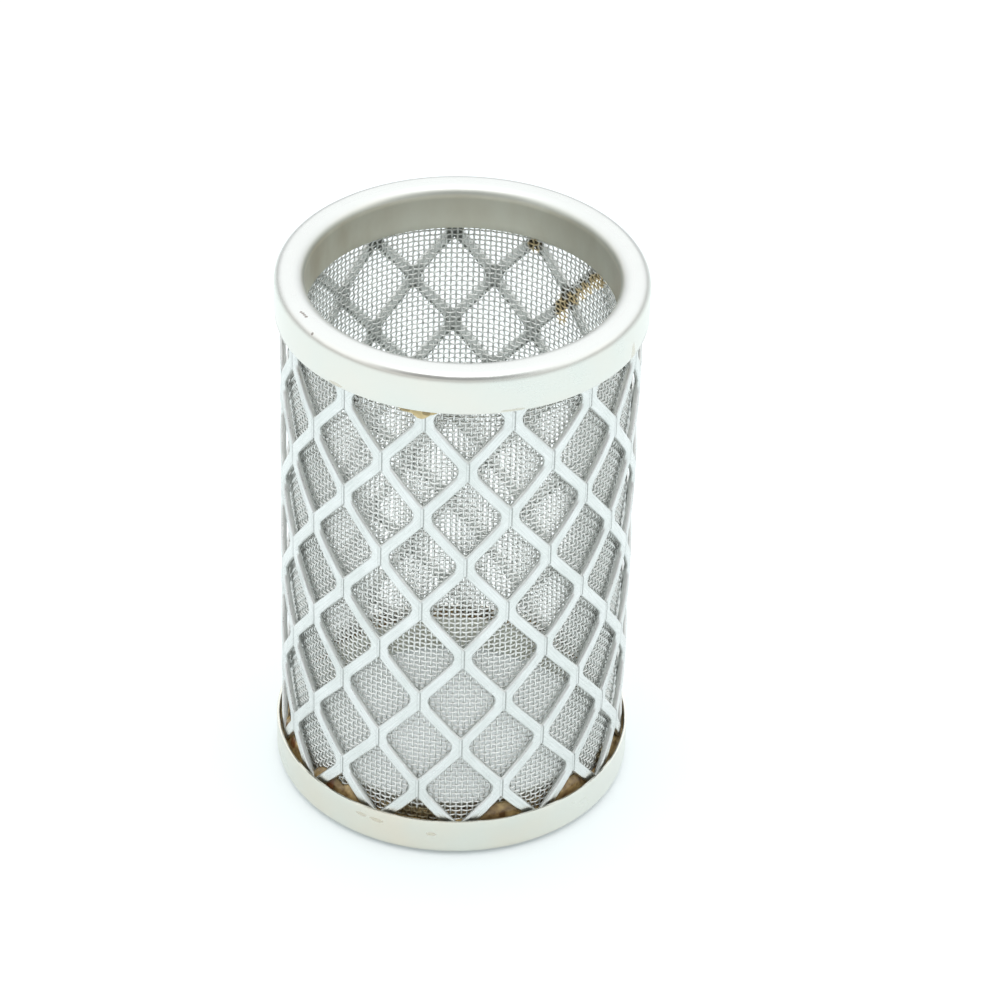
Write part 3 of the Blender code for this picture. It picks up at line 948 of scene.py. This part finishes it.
floor_finish, tree, shader, point = start_finish("white_sweep", floor_colour, 0.7, 0.0)
near_shade = blend_colours(tree, noise(tree, point, 30.0, 3.0), near_dark, near_light)
far_off = fade(tree, calculate_vector(tree, "LENGTH", {0: point}), 0.15, 0.50, soft=True)
tree.links.new(blend_colours(tree, far_off, near_shade, far_colour), shader.inputs["Base Color"])
shader.inputs["Emission Color"].default_value = (0.96, 1.0, 1.0, 1.0)
shader.inputs["Emission Strength"].default_value = 0.17
floor_mesh.materials.append(floor_finish)


# Light
# A white light tent, brightest overhead, with the dark opening in front that the camera looks in by,
# and a softbox above.
lens_elevation = math.radians(35.75)
world = bpy.data.worlds.new("light_tent")
bpy.context.scene.world = world
world.use_nodes = True
tree = world.node_tree
tent = tree.nodes["Background"]
way = add_node(tree, "ShaderNodeTexCoord").outputs["Generated"]
sideways, forwards, upwards = split(tree, way)
overhead = fade(tree, upwards, 0.0, 0.56, 0.72, 1.45, soft=True)
lens_up = (0, math.sin(lens_elevation), math.cos(lens_elevation))
lens_on = (0, -math.cos(lens_elevation), math.sin(lens_elevation))
above_lens = calculate_vector(tree, "DOT_PRODUCT", {0: way, 1: lens_up})
towards_lens = calculate_vector(tree, "DOT_PRODUCT", {0: way, 1: lens_on})
beside_lens = calculate(tree, "DIVIDE", sideways, 1.9)
from_lens = calculate_vector(tree, "LENGTH", {0: combine(tree, beside_lens, above_lens, 0)})
round_lens = fade(tree, from_lens, 0.5, 0.2, 0.0, 0.7, soft=True)
dark = calculate(tree, "MULTIPLY", round_lens, calculate(tree, "GREATER_THAN", towards_lens, 0.0))
strength = calculate(tree, "MULTIPLY", overhead, calculate(tree, "SUBTRACT", 1.0, dark))
tree.links.new(strength, tent.inputs["Strength"])
tent.inputs["Color"].default_value = (1.0, 1.0, 1.0, 1.0)

softbox = bpy.data.lights.new("softbox", "AREA")
softbox.shape = "DISK"
softbox.size = 0.9
softbox.energy = 2.0
lamp = bpy.data.objects.new("softbox", softbox)
lamp.location = (0.0, -0.35, 1.1)
lamp.rotation_euler = (Vector((0, 0, 0.05)) - lamp.location).to_track_quat("-Z", "Y").to_euler()
bpy.context.collection.objects.link(lamp)
bpy.context.scene.view_settings.view_transform = "Standard"


# Camera
# It looks down at the element with a long lens, held turned by two degrees.
camera_elevation = math.radians(35.7506)
camera_turn = math.radians(1.8572)
camera = bpy.data.objects.new("camera", bpy.data.cameras.new("camera"))
camera.data.sensor_width = 36.0
camera.data.lens = 144.7232
camera.data.clip_start = 0.01
camera.data.clip_end = 20.0
spot = Matrix.Translation((0.00659003, -0.50307238, 0.41045787))
tilt = Matrix.Rotation(math.pi / 2 - camera_elevation, 4, "X")
camera.matrix_world = spot @ tilt @ Matrix.Rotation(camera_turn, 4, "Z")
bpy.context.collection.objects.link(camera)
bpy.context.scene.camera = camera
